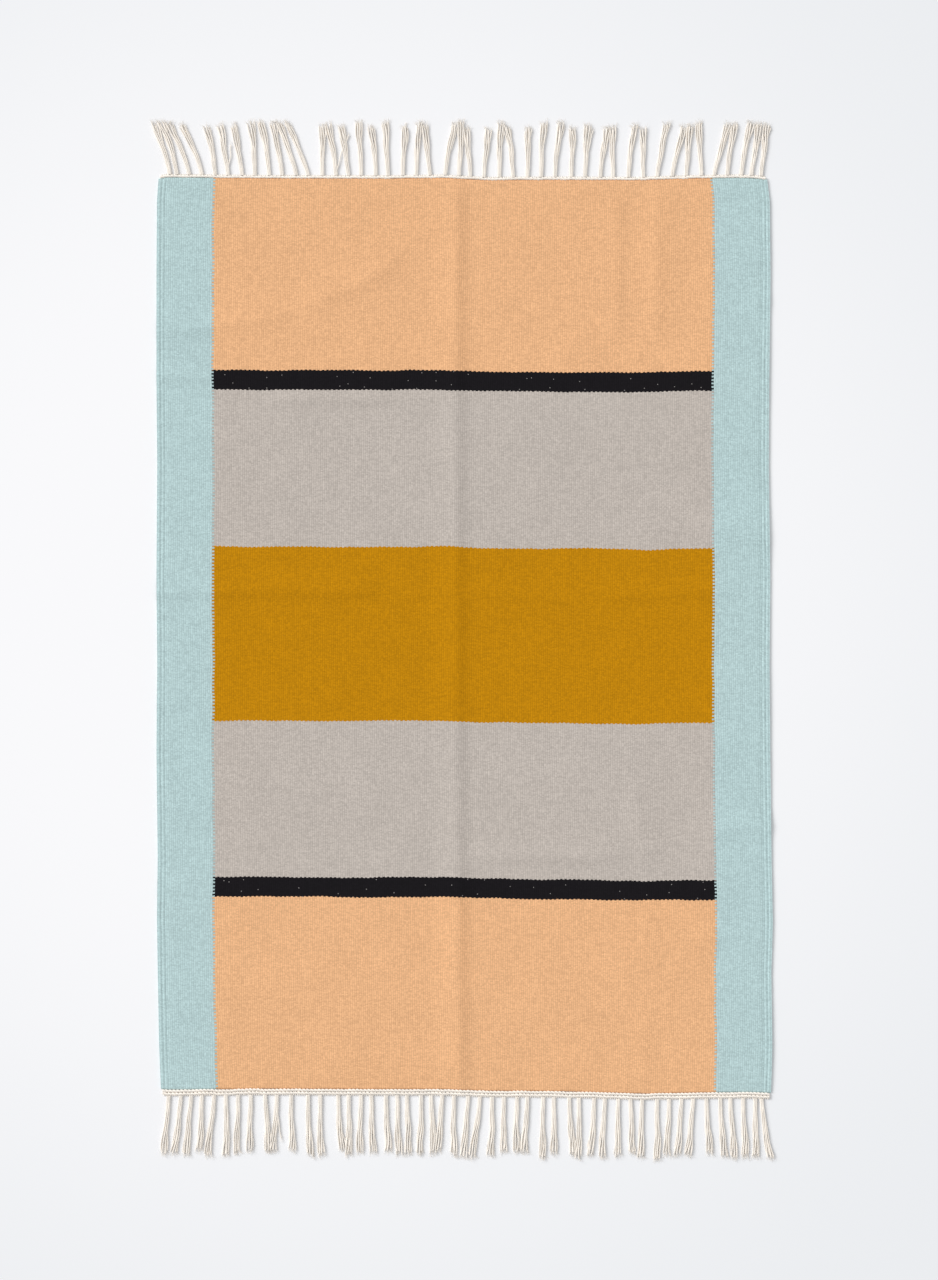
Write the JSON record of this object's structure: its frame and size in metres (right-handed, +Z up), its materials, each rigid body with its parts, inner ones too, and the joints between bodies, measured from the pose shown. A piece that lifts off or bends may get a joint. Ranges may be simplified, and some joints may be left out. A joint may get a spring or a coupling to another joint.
{
  "type": "kilim rug",
  "caption": "Flat-woven kilim rug lying flat, with broad colour bands between plain side borders, ribbed selvedges, twined headings and a tasselled fringe along both ends.",
  "frame": {"origin": "on the floor, under the middle of the rug's bounding box with its fringe", "axes": "+Z up from the floor, +Y lengthwise to the upper fringe at the top of the picture, +X across to its right-hand selvedge"},
  "size_m": [1.2268, 2.0326, 0.009],
  "materials": {
    "woven_wool": "weft-faced flat weave, matt wool",
    "twined_cotton": "undyed plied cotton, matt"
  },
  "bodies": {
    "root": {"woven_ground": "woven_wool", "upper_fringe": "twined_cotton", "lower_fringe": "twined_cotton"}
  },
  "joints": []
}
